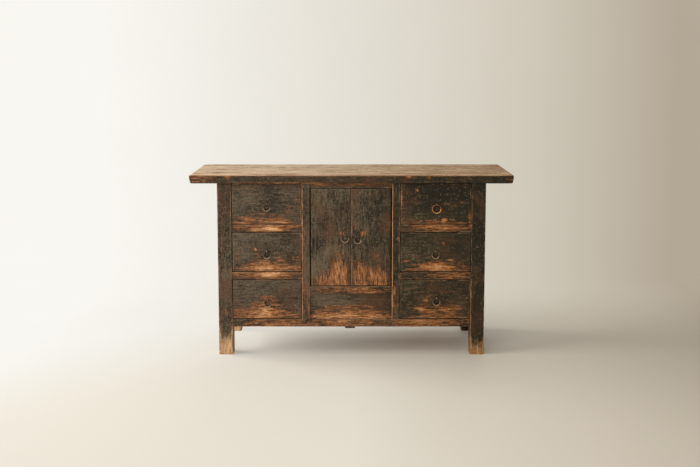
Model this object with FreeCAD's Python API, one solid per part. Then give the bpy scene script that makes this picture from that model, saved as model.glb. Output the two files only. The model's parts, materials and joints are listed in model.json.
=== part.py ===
import FreeCAD, Part
import os

# Elm sideboard: three drawers on each side of a two-door cupboard with a hidden compartment under its floor.
# Millimetres. +X right, +Y to the back, +Z up. The origin is on the floor below the middle of the top.

# Overall size
TOP_WIDTH = 1550.0
TOP_DEPTH = 450.0
TOP_THICKNESS = 40.0
HEIGHT = 884.0
END_OVERHANG = 129.5
FRONT_OVERHANG = 18.0
BACK_OVERHANG = 2.0
PLANK_SHARES = (0.34, 0.36, 0.30)
END_UNDERCUT = 8.0
END_UPRIGHT = 14.0

# Legs, posts and rails
FRONT_LEG_WIDTH = 68.5
BACK_LEG_WIDTH = 62.0
LEG_DEPTH = 62.0
POST_WIDTH = 38.5
FRAME_DEPTH = 42.0
RAIL_HEIGHT = 36.5
BOTTOM_RAIL_HEIGHT = 37.5
BOTTOM_RAIL_TOP = 176.0
HEAD_RAIL_HEIGHT = 23.5
SILL_TOP = 339.5
TOP_RAIL_HEIGHT = 40.0
BACK_RAIL_DEPTH = 30.0
SIDE_RAIL_THICKNESS = 28.0
CROSS_RAIL_HEIGHT = 30.0
DOORWAY_WIDTH = 397.0
DOORWAY_SHIFT = -2.5

# Boards and panels
BOTTOM_BOARD = 12.0
BOTTOM_BOARD_DROP = 16.0
BACK_BOARD = 10.0
BACK_BOARD_COUNT = 5
SIDE_PANEL = 12.0
PARTITION = 14.0
LOWER_PANEL = 12.0
BACK_RECESS = 8.0
SIDE_RECESS = 14.0
RAIL_RECESS = 10.0
PANEL_RECESS = 8.0
GROOVE = 6.0
BATTEN_WIDTH = 50.0
BATTEN_DEPTH = 30.0
BATTEN_SHIFT = -7.0

# Joinery
TENON_THICKNESS = 12.0
SHOULDER = 6.0
RAIL_TENON = 15.0
SHORT_TENON = 12.0
TOP_TENON = 20.0
ARRIS = 2.0
TOP_ARRIS = 4.0

# Drawers
OPENING_HEIGHT = 197.0
DRAWER_FRONT = 20.0
DRAWER_RECESS = 2.0
DRAWER_DEPTH = 375.0
DRAWER_SIDE = 12.0
DRAWER_SIDE_HEIGHT = 170.0
DRAWER_BOTTOM = 8.0
DRAWER_BOTTOM_RISE = 8.0
DRAWER_GAP = 2.0
FRONT_BOTTOM_GAP = 2.5
FRONT_TOP_GAP = 3.0
SLIDE_GAP = 0.5
DOVETAIL_ROOT = 26.0
DOVETAIL_TIP = 36.0
DOVETAIL_LENGTH = 13.0
DOVETAIL_COUNT = 3
RUNNER_WIDTH = 24.0
RUNNER_HEIGHT = 20.0
GUIDE_HEIGHT = 14.0

# Doors
DOOR_THICKNESS = 20.0
DOOR_GAP = 3.5
DOOR_MEETING_GAP = 1.5
DOOR_HEIGHT_GAP = 3.0
PIVOT_RADIUS = 7.0
PIVOT_LENGTH = 14.0
PIVOT_CLEARANCE = 0.08
PIVOT_END_GAP = 0.3

# Loose board over the hidden compartment
LOOSE_BOARD = 18.0
LOOSE_GAP = 2.0
BEARER = 20.0
REST_GAP = 0.3
FINGER_NOTCH_WIDTH = 60.0
FINGER_NOTCH_DEPTH = 20.0

# Ring pulls
RING_DIAMETER = 39.0
RING_WIRE = 4.6
LARGE_RING_DIAMETER = 45.0
STRIP_THICKNESS = 1.8
STRIP_WIDTH = 5.0
EYE_SLACK = 1.6
EYE_RISE = 1.1
EYE_STANDOFF = 1.0
CLENCH_REACH = 14.0

# The hand-driven pulls sit a few millimetres off the middle of each drawer front, to the right and up.
PULL_OFFSETS = {
    "left": {"top": (1.0, 2.0), "middle": (0.0, 4.0), "bottom": (0.0, -2.0)},
    "right": {"top": (3.0, -2.0), "middle": (0.0, 4.0), "bottom": (6.0, 6.0)},
}
DOOR_PULL_INSET = {"left": 29.0, "right": 31.5}
DOOR_PULL_HEIGHT = {"left": 591.0, "right": 586.0}

# Places that follow from the sizes
SIDES = {"left": -1, "right": 1}
ROWS = ("top", "middle", "bottom")
UNDERSIDE = HEIGHT - TOP_THICKNESS
HALF_BODY = TOP_WIDTH / 2 - END_OVERHANG
FRONT = -TOP_DEPTH / 2 + FRONT_OVERHANG
BACK = TOP_DEPTH / 2 - BACK_OVERHANG
FRAME_BACK = FRONT + FRAME_DEPTH
FRONT_LEG_BACK = FRONT + LEG_DEPTH
BACK_LEG_FRONT = BACK - LEG_DEPTH
BACK_RAIL_FRONT = BACK - BACK_RECESS - BACK_RAIL_DEPTH
BACK_BOARD_FRONT = BACK_RAIL_FRONT + (BACK_RAIL_DEPTH - BACK_BOARD) / 2
LEG_INNER = HALF_BODY - FRONT_LEG_WIDTH
BACK_LEG_INNER = HALF_BODY - BACK_LEG_WIDTH
SIDE_RAIL_OUTER = HALF_BODY - RAIL_RECESS
SIDE_RAIL_INNER = SIDE_RAIL_OUTER - SIDE_RAIL_THICKNESS
ROW_STEP = OPENING_HEIGHT + RAIL_HEIGHT
BOTTOM_RAIL_FOOT = BOTTOM_RAIL_TOP - BOTTOM_RAIL_HEIGHT
BOTTOM_BOARD_TOP = BOTTOM_RAIL_TOP - BOTTOM_BOARD_DROP
ROW_FLOOR = {row: BOTTOM_RAIL_TOP + ROW_STEP * index for index, row in enumerate(reversed(ROWS))}
SILL_FOOT = SILL_TOP - RAIL_HEIGHT
HEAD_FOOT = UNDERSIDE - HEAD_RAIL_HEIGHT
DRAWER_FACE = FRONT + DRAWER_RECESS
DOOR_FACE = FRONT + DRAWER_RECESS
DOOR_FOOT = SILL_TOP + DOOR_HEIGHT_GAP
DOOR_HEAD = HEAD_FOOT - DOOR_HEIGHT_GAP
DOOR_AXIS_Y = DOOR_FACE + DOOR_THICKNESS / 2


def doorway_edge(side):
    """The post's face towards the cupboard."""
    return DOORWAY_SHIFT + SIDES[side] * DOORWAY_WIDTH / 2


def bay_edge(side):
    """The post's face towards the drawers."""
    return doorway_edge(side) + SIDES[side] * POST_WIDTH


def post_middle(side):
    return (doorway_edge(side) + bay_edge(side)) / 2


def door_axis_x(side):
    """A door turns about the middle of its rounded outer edge."""
    return doorway_edge(side) - SIDES[side] * (DOOR_GAP + DOOR_THICKNESS / 2)


def block(xa, xb, ya, yb, za, zb):
    """A board between two corners, given in any order."""
    x0, x1 = sorted((xa, xb))
    y0, y1 = sorted((ya, yb))
    z0, z1 = sorted((za, zb))
    return Part.makeBox(x1 - x0, y1 - y0, z1 - z0, FreeCAD.Vector(x0, y0, z0))


def centred(x, width):
    return x - width / 2, x + width / 2


def soften_uprights(shape, radius=ARRIS):
    """Rounds every arris that runs the height of the piece."""
    height = shape.BoundBox.ZLength
    uprights = [edge for edge in shape.Edges if edge.BoundBox.ZLength > 0.99 * height]
    return shape.makeFillet(radius, uprights)


def soften_face(shape, y, radius=ARRIS):
    """Rounds the arrises round the front face at y."""
    rim = [edge for edge in shape.Edges if abs(edge.BoundBox.YMax - y) < 0.01]
    return shape.makeFillet(radius, rim)


def together(shapes):
    return Part.makeCompound([solid for shape in shapes for solid in shape.Solids])


def top_planks():
    """Three edge-jointed planks with ends cut back underneath, and the worn arris of the whole top."""
    half = TOP_WIDTH / 2
    right_end = [(half - END_UNDERCUT, UNDERSIDE), (half, HEIGHT - END_UPRIGHT), (half, HEIGHT)]
    left_end = [(-x, z) for x, z in reversed(right_end)]
    outline = [FreeCAD.Vector(x, -TOP_DEPTH / 2, z) for x, z in right_end + left_end]
    slab = Part.Face(Part.makePolygon(outline + outline[:1])).extrude(FreeCAD.Vector(0, TOP_DEPTH, 0))
    rim = [edge for edge in slab.Edges if edge.BoundBox.ZLength < 0.01]
    slab = slab.makeFillet(TOP_ARRIS, rim)
    planks = {}
    front = -TOP_DEPTH / 2
    for name, share in zip(("front", "middle", "back"), PLANK_SHARES):
        back = front + share * TOP_DEPTH
        planks["top_plank_" + name] = slab.common(block(-TOP_WIDTH, TOP_WIDTH, front, back, 0, HEIGHT))
        front = back
    return planks


def upright(xa, xb, y0, y1, foot, foot_tenon=0.0):
    """A leg or post with a tenon into the top, and one into the rail below where it stands on one."""
    x0, x1 = sorted((xa, xb))
    body = soften_uprights(block(x0, x1, y0, y1, foot, UNDERSIDE))
    tenon = block(x0 + SHOULDER, x1 - SHOULDER, *centred((y0 + y1) / 2, TENON_THICKNESS),
                  foot - foot_tenon, UNDERSIDE + TOP_TENON)
    return body.fuse(tenon).removeSplitter()


def legs():
    made = {}
    for side, sign in SIDES.items():
        outer = sign * HALF_BODY
        made["leg_front_" + side] = upright(outer, sign * LEG_INNER, FRONT, FRONT_LEG_BACK, 0)
        made["leg_back_" + side] = upright(outer, sign * BACK_LEG_INNER, BACK_LEG_FRONT, BACK, 0)
    return made


def posts():
    made = {}
    for side in SIDES:
        made["post_" + side] = upright(doorway_edge(side), bay_edge(side), FRONT, FRAME_BACK,
                                       BOTTOM_RAIL_TOP, TOP_TENON)
    return made


def rail_across(xa, xb, y0, y1, z0, z1):
    """A rail along X with a stub tenon at each end."""
    x0, x1 = sorted((xa, xb))
    tenon = block(x0 - RAIL_TENON, x1 + RAIL_TENON, *centred((y0 + y1) / 2, TENON_THICKNESS),
                  z0 + SHOULDER, z1 - SHOULDER)
    return block(x0, x1, y0, y1, z0, z1).fuse(tenon).removeSplitter()


def rail_back_to_front(x0, x1, y0, y1, z0, z1):
    """A rail along Y with a short tenon at each end."""
    tenon = block(*centred((x0 + x1) / 2, TENON_THICKNESS), y0 - SHORT_TENON, y1 + SHORT_TENON,
                  z0 + SHOULDER, z1 - SHOULDER)
    return block(x0, x1, y0, y1, z0, z1).fuse(tenon).removeSplitter()


def front_rails():
    made = {
        "front_bottom_rail": rail_across(-LEG_INNER, LEG_INNER, FRONT, FRAME_BACK,
                                         BOTTOM_RAIL_FOOT, BOTTOM_RAIL_TOP),
        "door_sill_rail": rail_across(doorway_edge("left"), doorway_edge("right"), FRONT, FRAME_BACK,
                                      SILL_FOOT, SILL_TOP),
        "door_head_rail": rail_across(doorway_edge("left"), doorway_edge("right"), FRONT, FRAME_BACK,
                                      HEAD_FOOT, UNDERSIDE),
    }
    for side, sign in SIDES.items():
        for name, row in (("upper", "top"), ("lower", "middle")):
            top = ROW_FLOOR[row]
            rail = rail_across(bay_edge(side), sign * LEG_INNER, FRONT, FRAME_BACK, top - RAIL_HEIGHT, top)
            made["rail_" + side + "_" + name] = rail
    return made


def back_rails():
    """The two rails between the back legs, in one group."""
    y0 = BACK_RAIL_FRONT
    y1 = y0 + BACK_RAIL_DEPTH
    levels = ((BOTTOM_RAIL_FOOT, BOTTOM_RAIL_TOP), (UNDERSIDE - TOP_RAIL_HEIGHT, UNDERSIDE))
    return together(rail_across(-BACK_LEG_INNER, BACK_LEG_INNER, y0, y1, *level) for level in levels)


def side_rails():
    """The upper and lower rail of each end, in one group."""
    rails = []
    for sign in SIDES.values():
        x0, x1 = sorted((sign * SIDE_RAIL_INNER, sign * SIDE_RAIL_OUTER))
        for foot, top in ((BOTTOM_RAIL_FOOT, BOTTOM_RAIL_TOP), (UNDERSIDE - TOP_RAIL_HEIGHT, UNDERSIDE)):
            rails.append(rail_back_to_front(x0, x1, FRONT_LEG_BACK, BACK_LEG_FRONT, foot, top))
    return together(rails)


def top_cross_rails():
    """The rails over the partitions, from each post back to the back top rail."""
    return together(
        rail_back_to_front(*centred(post_middle(side), POST_WIDTH), FRAME_BACK, BACK_RAIL_FRONT,
                           UNDERSIDE - CROSS_RAIL_HEIGHT, UNDERSIDE)
        for side in SIDES
    )


def side_panels():
    """Each end's panel floats in grooves in the legs and end rails."""
    made = {}
    for side, sign in SIDES.items():
        outer = sign * (HALF_BODY - SIDE_RECESS)
        made["side_panel_" + side] = block(outer, outer - sign * SIDE_PANEL,
                                           FRONT_LEG_BACK - GROOVE, BACK_LEG_FRONT + GROOVE,
                                           BOTTOM_RAIL_TOP - GROOVE, UNDERSIDE - TOP_RAIL_HEIGHT + GROOVE)
    return made


def back_boards():
    """Upright boards in grooves between the back legs and back rails."""
    half = BACK_LEG_INNER + GROOVE
    width = 2 * half / BACK_BOARD_COUNT
    gap = SLIDE_GAP / 2
    return together(
        block(-half + index * width + gap, -half + (index + 1) * width - gap,
              BACK_BOARD_FRONT, BACK_BOARD_FRONT + BACK_BOARD,
              BOTTOM_RAIL_TOP - GROOVE, UNDERSIDE - TOP_RAIL_HEIGHT + GROOVE)
        for index in range(BACK_BOARD_COUNT)
    )


def partitions():
    """Each partition runs from a groove in its post to the back boards."""
    made = {}
    for side in SIDES:
        across = centred(post_middle(side), PARTITION)
        made["partition_" + side] = block(*across, FRAME_BACK - GROOVE, BACK_BOARD_FRONT,
                                          BOTTOM_BOARD_TOP, UNDERSIDE - CROSS_RAIL_HEIGHT)
    return made


def lower_panel():
    """The fixed panel below the doors, in grooves all round."""
    face = FRONT + PANEL_RECESS
    return block(doorway_edge("left") - GROOVE, doorway_edge("right") + GROOVE, face, face + LOWER_PANEL,
                 BOTTOM_RAIL_TOP - GROOVE, SILL_FOOT + GROOVE)


def bottom_boards():
    """Two long boards in grooves round the bottom rails."""
    half = SIDE_RAIL_INNER + GROOVE
    edges = (FRAME_BACK - GROOVE, 0, BACK_RAIL_FRONT + GROOVE)
    return together(
        block(-half, half, front, back, BOTTOM_BOARD_TOP - BOTTOM_BOARD, BOTTOM_BOARD_TOP)
        for front, back in zip(edges, edges[1:])
    )


def bottom_batten():
    """The batten that holds the bottom boards together shows its end below the front bottom rail."""
    top = BOTTOM_BOARD_TOP - BOTTOM_BOARD
    body = block(*centred(BATTEN_SHIFT, BATTEN_WIDTH), FRAME_BACK, BACK_RAIL_FRONT, top - BATTEN_DEPTH, top)
    tenon = block(*centred(BATTEN_SHIFT, BATTEN_WIDTH - 2 * SHOULDER), FRAME_BACK - SHORT_TENON,
                  BACK_RAIL_FRONT + SHORT_TENON, BOTTOM_RAIL_FOOT + 1, top)
    return body.fuse(tenon).removeSplitter()


def bay_wall(side, at_leg):
    """One wall of a drawer bay: the bay's edge, the wall behind it and the way into the bay."""
    sign = SIDES[side]
    if at_leg:
        return sign * LEG_INNER, sign * SIDE_RAIL_INNER, -sign
    return bay_edge(side), post_middle(side) + sign * PARTITION / 2, sign


def runner(side, row, at_leg):
    """The flat that a drawer slides on, tenoned into the front frame."""
    edge, wall, inward = bay_wall(side, at_leg)
    floor = ROW_FLOOR[row]
    foot = max(floor - RUNNER_HEIGHT, BOTTOM_BOARD_TOP)
    flat = block(edge + inward * RUNNER_WIDTH, wall, FRAME_BACK, BACK_RAIL_FRONT, foot, floor)
    tenon = block(edge + inward * SHOULDER, edge + inward * (RUNNER_WIDTH - SHOULDER),
                  FRAME_BACK - SHORT_TENON, FRAME_BACK, foot + SHOULDER / 2, floor - SHOULDER)
    return flat.fuse(tenon).removeSplitter()


def guide(side, row, at_leg):
    """The strip on a runner that keeps the drawer straight."""
    edge, wall, _ = bay_wall(side, at_leg)
    floor = ROW_FLOOR[row]
    return block(edge, wall, FRAME_BACK, BACK_RAIL_FRONT, floor, floor + GUIDE_HEIGHT)


def drawer_runners():
    places = [(side, row, at_leg) for side in SIDES for row in ROWS for at_leg in (True, False)]
    return together([runner(*place) for place in places] + [guide(*place) for place in places])


def floor_bearers():
    """Ledges on the partitions that carry the loose board."""
    top = SILL_TOP - LOOSE_BOARD
    bearers = []
    for side, sign in SIDES.items():
        wall = post_middle(side) - sign * PARTITION / 2
        bearers.append(block(wall, wall - sign * BEARER, FRAME_BACK, BACK_RAIL_FRONT, top - BEARER, top))
    return together(bearers)


def loose_board():
    """The cupboard's floor lifts off the bearers by a finger notch in its front edge."""
    edge = PARTITION / 2 + LOOSE_GAP
    board = block(post_middle("left") + edge, post_middle("right") - edge, FRAME_BACK + LOOSE_GAP,
                  BACK_BOARD_FRONT - LOOSE_GAP, SILL_TOP - LOOSE_BOARD + REST_GAP, SILL_TOP)
    notch = block(*centred(DOORWAY_SHIFT, FINGER_NOTCH_WIDTH), FRAME_BACK,
                  FRAME_BACK + LOOSE_GAP + FINGER_NOTCH_DEPTH, 0, HEIGHT)
    return board.cut(notch)


def pull(x, face, z, board, diameter):
    """A split pin through a board and the ring that hangs in its eye, on the hinge line at height z."""
    hole = RING_WIRE / 2 + EYE_SLACK
    outer = hole + STRIP_THICKNESS
    middle_y = face - outer - EYE_STANDOFF
    middle_z = z + EYE_RISE
    start = FreeCAD.Vector(x - STRIP_WIDTH / 2, middle_y, middle_z)
    along = FreeCAD.Vector(1, 0, 0)
    across = centred(x, STRIP_WIDTH)
    eye = Part.makeCylinder(outer, STRIP_WIDTH, start, along)
    back = face + board
    shank = block(*across, middle_y, back, *centred(middle_z, 2 * STRIP_THICKNESS))
    clench = block(*across, back, back + STRIP_THICKNESS, *centred(middle_z, 2 * CLENCH_REACH))
    pin = eye.fuse([shank, clench]).cut(Part.makeCylinder(hole, STRIP_WIDTH, start, along)).removeSplitter()
    radius = (diameter - RING_WIRE) / 2
    centre = FreeCAD.Vector(x, middle_y, z - radius)
    ring = Part.makeTorus(radius, RING_WIRE / 2, centre, FreeCAD.Vector(0, 1, 0))
    return pin, ring


def dovetails(side_outer, side_inner, foot):
    """The tails on a drawer side's front end."""
    pitch = DRAWER_SIDE_HEIGHT / DOVETAIL_COUNT
    back = DRAWER_FACE + DRAWER_FRONT
    tails = []
    for index in range(DOVETAIL_COUNT):
        middle = foot + (index + 0.5) * pitch
        outline = [
            (back, middle - DOVETAIL_ROOT / 2),
            (back - DOVETAIL_LENGTH, middle - DOVETAIL_TIP / 2),
            (back - DOVETAIL_LENGTH, middle + DOVETAIL_TIP / 2),
            (back, middle + DOVETAIL_ROOT / 2),
        ]
        points = [FreeCAD.Vector(side_outer, y, z) for y, z in outline]
        face = Part.Face(Part.makePolygon(points + points[:1]))
        tails.append(face.extrude(FreeCAD.Vector(side_inner - side_outer, 0, 0)))
    return tails


def drawer_span(side):
    """The drawer front's two ends."""
    return sorted((bay_edge(side) + SIDES[side] * DRAWER_GAP, SIDES[side] * (LEG_INNER - DRAWER_GAP)))


def drawer_pull_place(side, row):
    """Where a drawer's ring hangs: across, and the height of its hinge line."""
    shift, rise = PULL_OFFSETS[side][row]
    x0, x1 = drawer_span(side)
    middle = ROW_FLOOR[row] + (OPENING_HEIGHT + FRONT_BOTTOM_GAP - FRONT_TOP_GAP) / 2
    return (x0 + x1) / 2 + shift, middle + rise


def drawer(side, row):
    """A drawer: its front, a box of two sides, back and bottom, and the pull."""
    x0, x1 = drawer_span(side)
    foot = ROW_FLOOR[row] + SLIDE_GAP
    front_foot = ROW_FLOOR[row] + FRONT_BOTTOM_GAP
    front_head = (UNDERSIDE if row == "top" else ROW_FLOOR[row] + OPENING_HEIGHT) - FRONT_TOP_GAP
    front_back = DRAWER_FACE + DRAWER_FRONT
    rear = DRAWER_FACE + DRAWER_DEPTH
    bottom_foot = foot + DRAWER_BOTTOM_RISE
    bottom_top = bottom_foot + DRAWER_BOTTOM
    side_top = foot + DRAWER_SIDE_HEIGHT

    bottom = block(x0 + GROOVE, x1 - GROOVE, front_back - GROOVE, rear, bottom_foot, bottom_top)
    back = block(x0 + GROOVE, x1 - GROOVE, rear - 2 * DRAWER_SIDE, rear - DRAWER_SIDE, bottom_top, side_top)
    walls = []
    for outer, inner in ((x0, x0 + DRAWER_SIDE), (x1, x1 - DRAWER_SIDE)):
        board = block(outer, inner, front_back, rear, foot, side_top)
        walls.append(board.fuse(dovetails(outer, inner, foot)).removeSplitter().cut(bottom).cut(back))

    face = block(x0, x1, DRAWER_FACE, front_back, front_foot, front_head)
    face = soften_face(face, DRAWER_FACE)
    pull_x, pull_z = drawer_pull_place(side, row)
    diameter = LARGE_RING_DIAMETER if (side, row) == ("right", "top") else RING_DIAMETER
    pin, ring = pull(pull_x, DRAWER_FACE, pull_z, DRAWER_FRONT, diameter)
    for insert in (*walls, bottom, pin):
        face = face.cut(insert)

    name = "drawer_" + side + "_" + row
    return {
        name + "_front": face,
        name + "_box": together((*walls, back, bottom)),
        name + "_pin": pin,
        name + "_ring": ring,
    }


def door(side):
    """A one-board door that turns on round tenons at its outer edge, with its pull at the inner edge."""
    sign = SIDES[side]
    axis_x = door_axis_x(side)
    free_edge = DOORWAY_SHIFT + sign * DOOR_MEETING_GAP / 2
    leaf = block(axis_x, free_edge, DOOR_FACE, DOOR_FACE + DOOR_THICKNESS, DOOR_FOOT, DOOR_HEAD)
    foot = FreeCAD.Vector(axis_x, DOOR_AXIS_Y, DOOR_FOOT)
    edge = Part.makeCylinder(DOOR_THICKNESS / 2, DOOR_HEAD - DOOR_FOOT, foot)
    pin_foot = SILL_TOP - PIVOT_LENGTH + PIVOT_END_GAP
    pin_top = HEAD_FOOT + PIVOT_LENGTH - PIVOT_END_GAP
    pivot = Part.makeCylinder(PIVOT_RADIUS, pin_top - pin_foot, FreeCAD.Vector(axis_x, DOOR_AXIS_Y, pin_foot))
    leaf = leaf.fuse([edge, pivot]).removeSplitter()
    pull_x = DOORWAY_SHIFT + sign * DOOR_PULL_INSET[side]
    pin, ring = pull(pull_x, DOOR_FACE, DOOR_PULL_HEIGHT[side], DOOR_THICKNESS, RING_DIAMETER)
    name = "door_" + side
    return {name + "_leaf": leaf.cut(pin), name + "_pin": pin, name + "_ring": ring}


def pivot_sockets(rail):
    """Bores in the sill or head rail that the doors' round tenons turn in."""
    for side in SIDES:
        foot = FreeCAD.Vector(door_axis_x(side), DOOR_AXIS_Y, SILL_TOP - PIVOT_LENGTH)
        depth = HEAD_FOOT + PIVOT_LENGTH - (SILL_TOP - PIVOT_LENGTH)
        rail = rail.cut(Part.makeCylinder(PIVOT_RADIUS + PIVOT_CLEARANCE, depth, foot))
    return rail


def receive(pieces, receivers, entering):
    """Cuts into each receiver the sockets and grooves that the entering pieces fill."""
    for name in receivers:
        for other in entering:
            if pieces[name].BoundBox.intersect(pieces[other].BoundBox):
                pieces[name] = pieces[name].cut(pieces[other])


def carcass():
    """The fixed pieces, jointed into each other."""
    pieces = {
        **top_planks(),
        **legs(),
        **posts(),
        **front_rails(),
        **side_panels(),
        **partitions(),
        "back_rails": back_rails(),
        "side_rails": side_rails(),
        "top_cross_rails": top_cross_rails(),
        "back_boards": back_boards(),
        "lower_panel": lower_panel(),
        "bottom_boards": bottom_boards(),
        "bottom_batten": bottom_batten(),
        "drawer_runners": drawer_runners(),
        "floor_bearers": floor_bearers(),
    }
    for name in ("door_sill_rail", "door_head_rail"):
        pieces[name] = pivot_sockets(pieces[name])

    leg_names = [name for name in pieces if name.startswith("leg_")]
    post_names = [name for name in pieces if name.startswith("post_")]
    drawer_rails = [name for name in pieces if name.startswith("rail_")]
    long_rails = ["front_bottom_rail", "back_rails", "side_rails"]
    door_rails = ["door_sill_rail", "door_head_rail"]
    side_boards = ["side_panel_left", "side_panel_right"]
    inner_boards = ["partition_left", "partition_right"]

    receive(pieces, ["bottom_boards", "drawer_runners"], leg_names)
    receive(pieces, inner_boards, long_rails)
    receive(pieces, ["top_plank_front", "top_plank_back"], leg_names + post_names)
    receive(pieces, leg_names, long_rails + drawer_rails + side_boards + ["back_boards"])
    receive(pieces, post_names, drawer_rails + door_rails + inner_boards + ["lower_panel", "top_cross_rails"])
    receive(pieces, long_rails, post_names + side_boards)
    receive(pieces, long_rails, ["back_boards", "lower_panel", "bottom_boards", "bottom_batten"])
    receive(pieces, long_rails, ["top_cross_rails", "drawer_runners"])
    receive(pieces, drawer_rails + ["door_sill_rail"], ["drawer_runners", "lower_panel"])
    return pieces


def sideboard():
    pieces = carcass()
    pieces["loose_board"] = loose_board()
    for side in SIDES:
        pieces.update(door(side))
        for row in ROWS:
            pieces.update(drawer(side, row))
    return pieces


PIECES = sideboard()
os.makedirs("parts", exist_ok=True)
for piece_name, piece_shape in PIECES.items():
    together([piece_shape]).exportStep("parts/" + piece_name + ".step")
print(len(PIECES), "pieces")
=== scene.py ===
import json
import math
import random
from collections import namedtuple

import bmesh
import bpy
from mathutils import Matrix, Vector, noise

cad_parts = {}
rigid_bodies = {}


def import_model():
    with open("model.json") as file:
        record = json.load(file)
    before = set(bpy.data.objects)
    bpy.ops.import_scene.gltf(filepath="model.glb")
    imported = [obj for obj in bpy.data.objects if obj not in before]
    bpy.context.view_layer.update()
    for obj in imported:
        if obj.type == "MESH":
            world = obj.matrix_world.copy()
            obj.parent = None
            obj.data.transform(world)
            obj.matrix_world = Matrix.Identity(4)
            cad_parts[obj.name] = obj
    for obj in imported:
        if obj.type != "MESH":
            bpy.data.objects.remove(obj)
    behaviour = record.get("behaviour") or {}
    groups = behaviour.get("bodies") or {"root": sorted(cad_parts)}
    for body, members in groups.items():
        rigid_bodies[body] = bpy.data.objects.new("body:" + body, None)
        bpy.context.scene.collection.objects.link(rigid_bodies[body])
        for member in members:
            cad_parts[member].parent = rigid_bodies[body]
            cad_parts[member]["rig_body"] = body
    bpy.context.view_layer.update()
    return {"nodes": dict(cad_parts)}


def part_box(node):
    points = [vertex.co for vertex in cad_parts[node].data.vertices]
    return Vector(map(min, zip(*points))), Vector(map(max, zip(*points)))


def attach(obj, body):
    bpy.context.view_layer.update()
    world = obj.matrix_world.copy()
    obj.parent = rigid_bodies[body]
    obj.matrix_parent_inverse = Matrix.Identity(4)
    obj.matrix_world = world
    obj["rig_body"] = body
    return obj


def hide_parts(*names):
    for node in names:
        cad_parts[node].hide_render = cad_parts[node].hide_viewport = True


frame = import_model()

X, Y, Z = range(3)
MM = 0.001
SEED = 11

# How finely the boards are cut into cells. Along the grain a cell is at least LONG_CELL, and
# there are two more cuts this far from each arris.
FINE_CELL = 7 * MM
SIDE_CELL = 14 * MM
ROUGH_CELL = 24 * MM
LONG_CELL = 10 * MM
ARRIS_CUTS = (1.5 * MM, 4.5 * MM)

# Vertices nearer than this are one, faces flatter than this are one, and sharper edges stay sharp
WELD = 0.01 * MM
FLAT = math.radians(0.5)
SHARP = math.radians(35)

# How far the wear of an arris reaches, and how much wood is gone at the arris, nicks and faces
ARRIS_REACH = 5 * MM
ARRIS_LOSS = 1.3 * MM
TOP_REACH = 9 * MM
TOP_LOSS = 2.4 * MM
SEAM_REACH = 3 * MM
SEAM_LOSS = 0.9 * MM
NICK_LOSS = 0.5 * ARRIS_LOSS
FACE_LOSS = 0.5 * MM

# How wide the hollows, dents and nicks are
HOLLOW_SIZE = 260 * MM
DENT_SIZE = 55 * MM
NICK_SIZE = 14 * MM

# What hollows and dents add to the wear of an arris and of a face, and how rare deep nicks are
ARRIS_LEAST = 0.2
ARRIS_BY_HOLLOW = 0.5
ARRIS_BY_DENT = 0.4
FACE_BY_HOLLOW = 0.6
FACE_BY_DENT = 0.4
NICK_RARITY = 3

# Noises of one size are kept apart by these shifts, which lean a different way on each axis
ARRIS_HOLLOWS, ARRIS_DENTS, NICKS, FACE_DENTS = 1.7, 3.1, 5.1, 9.3
SHIFT_LEAN = (1.0, 3.7, -2.3)
NOISE_GAIN = 0.9

# Each board and pull lies somewhere else in the noises, up to this far, so that no two look alike
FARTHEST_SHIFT = 40

# How much metal wear and the hammer have taken, and how wide their marks are
THINNED_LOSS = 0.3 * MM
THINNED_SIZE = 9 * MM
HAMMERED_LOSS = 0.2 * MM
HAMMERED_SIZE = 3 * MM
HAMMERED_SHIFT = 2

# Which normals look to the front or up, and how deep a strip counts as a board's front
FRONT_NORMAL = -0.4
FOOT_FRONT_NORMAL = -0.5
UP_NORMAL = 0.5
FRONT_STRIP = 2.5 * MM

# How bare a board is away from its front: the least, what waves add, and what height takes
SIDE_BARE = 0.09
SIDE_BARE_WAVES = 0.22
SIDE_BARE_FALL = 0.12

# The painted shadow of a hanging ring lies this much to the right of it, away from the light from the left
RING_SHADOW_SHIFT = 2.5 * MM

# How far past its written size an oval of wear fades out, and how steeply
OVAL_SPREAD = 1.5
OVAL_FALL = 2.0

# The doors' round tenons stand out of their leaves by this much
DOOR_TENON = 15 * MM

TOP_PLANKS = ["top_plank_front", "top_plank_middle", "top_plank_back"]
TOP_LOW = [min(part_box(plank)[0][axis] for plank in TOP_PLANKS) for axis in range(3)]
TOP_HIGH = [max(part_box(plank)[1][axis] for plank in TOP_PLANKS) for axis in range(3)]

# The top's upper face is old bare wood, from where it begins to look up
TOP_PALE_FROM = 0.25
TOP_PALE_OVER = 0.5

# The lower arris of the top is sheltered, so it is rubbed as if this many millimetres further in
SHELTER = 5.0

# How high the lacquer has gone from each foot, and over what height it fades. The back right
# foot is left dark as a painted shade, since it stands in the object's shadow
BARE_FEET = {
    "leg_front_left": 0.070, "leg_front_right": 0.042, "leg_back_left": 0.09, "leg_back_right": -0.05,
}
FOOT_FADE = 0.10

# It has gone a little higher near the arrises, and the legs' sides and backs are painted darker,
# a painted shade that holds down the lamps' light on them
FOOT_EDGE = 0.07
FOOT_RIM = 12 * MM
LEG_SIDE_SHADE = 0.5


def srgb(red, green, blue):
    """A colour as written for a screen, 0 to 255, in the linear values that Blender uses."""
    def linear(value):
        share = value / 255
        return share / 12.92 if share <= 0.04045 else ((share + 0.055) / 1.055) ** 2.4
    return linear(red), linear(green), linear(blue), 1.0


# Worn places and painted highlights

# An oval of wear on a front face. across runs 0 to 1 from its left end, up 0 to 1 from its foot,
# wide and high are shares of the face, and bare is how far the lacquer has gone in its middle.
# On the posts' and some fronts' left arrises the pale wear is partly a painted highlight of the
# light from the left.
# Below zero the lacquer is painted darker there.
Oval = namedtuple("Oval", "across up wide high bare")


def spot(across, up, bare=1.0, wide=0.055, high=0.08):
    """A small worn place."""
    return Oval(across, up, wide, high, bare)


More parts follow.
